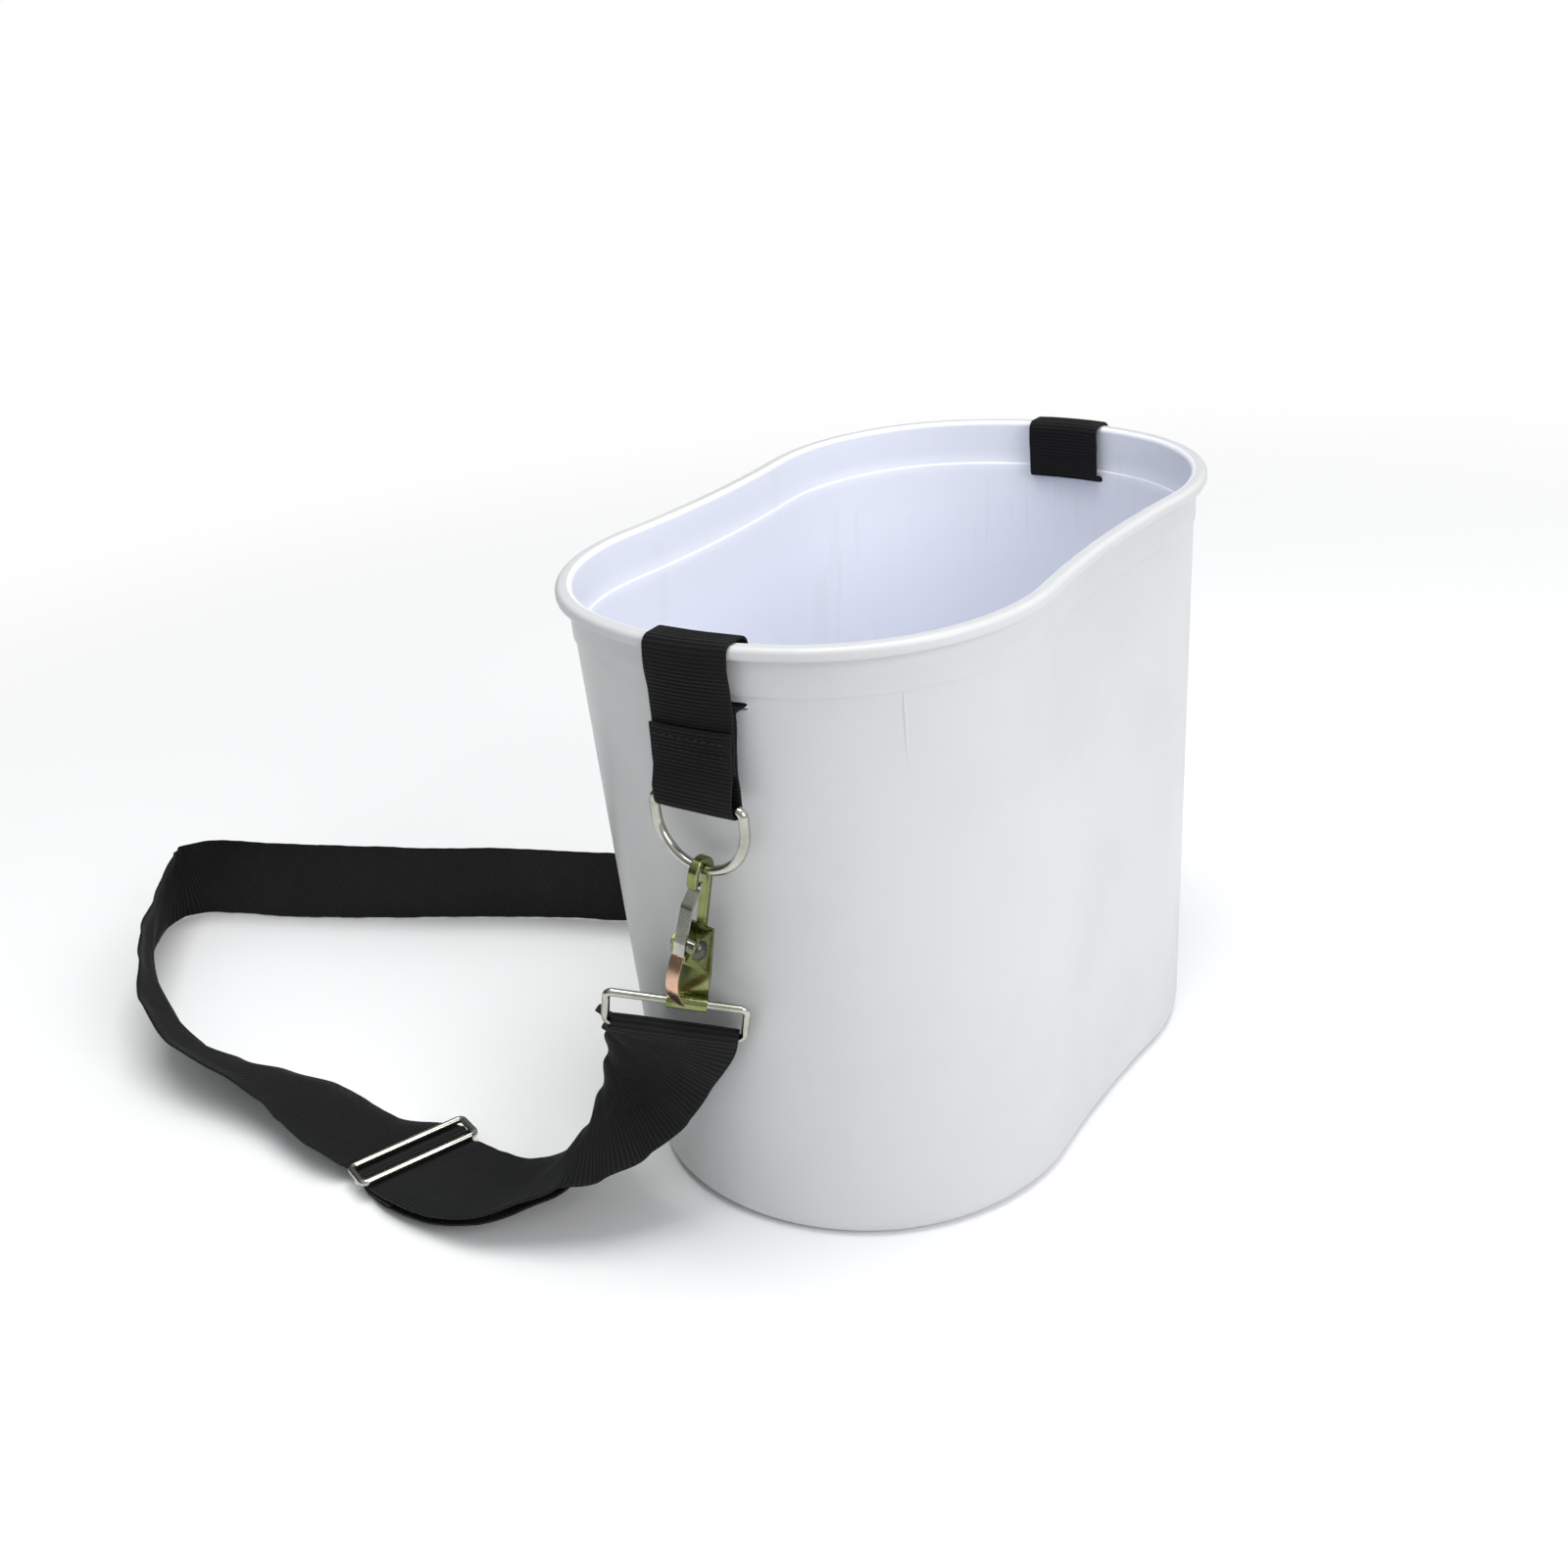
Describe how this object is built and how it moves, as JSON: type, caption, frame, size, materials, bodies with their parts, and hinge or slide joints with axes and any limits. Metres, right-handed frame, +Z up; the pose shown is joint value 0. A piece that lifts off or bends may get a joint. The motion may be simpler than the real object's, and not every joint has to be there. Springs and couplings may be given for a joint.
{
  "type": "picking bucket",
  "caption": "Rigid waisted harvest bucket with a rolled rim, carried on a shoulder strap that clips with snap hooks to D-rings at both ends.",
  "frame": {"origin": "centre of the bucket's underside, on the face it rests on", "axes": "+Z up, Y along the bucket's long axis with the near loop and the slider at -Y, X across the bucket with the strap's loop laid out towards -X"},
  "size_m": [0.5492, 0.4087, 0.2617],
  "materials": {
    "bucket plastic": "satin",
    "loop webbing": "matte",
    "strap webbing": "matte",
    "thread": "matte",
    "nickel plate": "polished",
    "leaf bronze": "polished",
    "slider wire": "polished"
  },
  "bodies": {
    "bucket": {"bucket_shell": "bucket plastic", "near_loop": "loop webbing", "near_loop_stitching": "thread", "far_loop": "loop webbing", "far_loop_stitching": "thread", "shoulder_strap": "strap webbing", "strap_slider_stitching": "thread", "strap_far_stitching": "thread"},
    "near_d_ring": {"near_d_ring": "nickel plate"},
    "near_hook": {"near_hook_body": "nickel plate", "near_gate_rivet": "nickel plate", "near_leaf_spring": "leaf bronze"},
    "near_gate": {"near_gate": "nickel plate"},
    "near_base_ring": {"near_base_ring": "nickel plate"},
    "far_d_ring": {"far_d_ring": "nickel plate"},
    "far_hook": {"far_hook_body": "nickel plate", "far_gate_rivet": "nickel plate", "far_leaf_spring": "leaf bronze"},
    "far_gate": {"far_gate": "nickel plate"},
    "far_base_ring": {"far_base_ring": "nickel plate"},
    "slider": {"slider_frame": "slider wire", "slider_bar": "slider wire"}
  },
  "joints": [
    {"name": "near_d_ring_swing", "type": "hinge", "parent": "bucket", "child": "near_d_ring", "pos_m": [0.0065, -0.157, 0.2], "axis": [-1, 0, 0], "range_deg": [-1.5, 150], "deforming": ["shoulder_strap"]},
    {"name": "near_hook_sway", "type": "hinge", "parent": "near_d_ring", "child": "near_hook", "pos_m": [0.0065, -0.157, 0.1927], "axis": [0, 1, 0], "range_deg": [-30, 30], "deforming": ["shoulder_strap"]},
    {"name": "near_gate_open", "type": "hinge", "parent": "near_hook", "child": "near_gate", "pos_m": [-0.00003, -0.1645, 0.14286], "axis": [-0.9881, -0.015, 0.1532], "range_deg": [0, 10], "stiffness_Nm_per_rad": 0.05, "springref_deg": -20.05, "deforming": ["near_leaf_spring"]},
    {"name": "near_base_ring_swing", "type": "hinge", "parent": "near_hook", "child": "near_base_ring", "pos_m": [-0.00746, -0.16635, 0.11771], "axis": [-0.8532, -0.4839, 0.1948], "range_deg": [-5, 90], "deforming": ["shoulder_strap"]},
    {"name": "far_d_ring_swing", "type": "hinge", "parent": "bucket", "child": "far_d_ring", "pos_m": [0.0065, 0.157, 0.2], "axis": [1, 0, 0], "range_deg": [-1.5, 150], "deforming": ["shoulder_strap", "strap_far_stitching"]},
    {"name": "far_hook_sway", "type": "hinge", "parent": "far_d_ring", "child": "far_hook", "pos_m": [0.0065, 0.157, 0.1927], "axis": [0, 1, 0], "range_deg": [-30, 30], "deforming": ["shoulder_strap", "strap_far_stitching"]},
    {"name": "far_gate_open", "type": "hinge", "parent": "far_hook", "child": "far_gate", "pos_m": [-0.00003, 0.1645, 0.14286], "axis": [0.9881, -0.015, -0.1532], "range_deg": [0, 10], "stiffness_Nm_per_rad": 0.05, "springref_deg": -20.05, "deforming": ["far_leaf_spring"]},
    {"name": "far_base_ring_swing", "type": "hinge", "parent": "far_hook", "child": "far_base_ring", "pos_m": [-0.00746, 0.16635, 0.11771], "axis": [0.8532, -0.4839, -0.1948], "range_deg": [-5, 90], "deforming": ["shoulder_strap", "strap_far_stitching"]},
    {"name": "slider_along_strap", "type": "slide", "parent": "bucket", "child": "slider", "axis": [0.9336, -0.3584, 0], "range_m": [-0.02, 0.02], "deforming": ["shoulder_strap", "strap_slider_stitching"]}
  ]
}
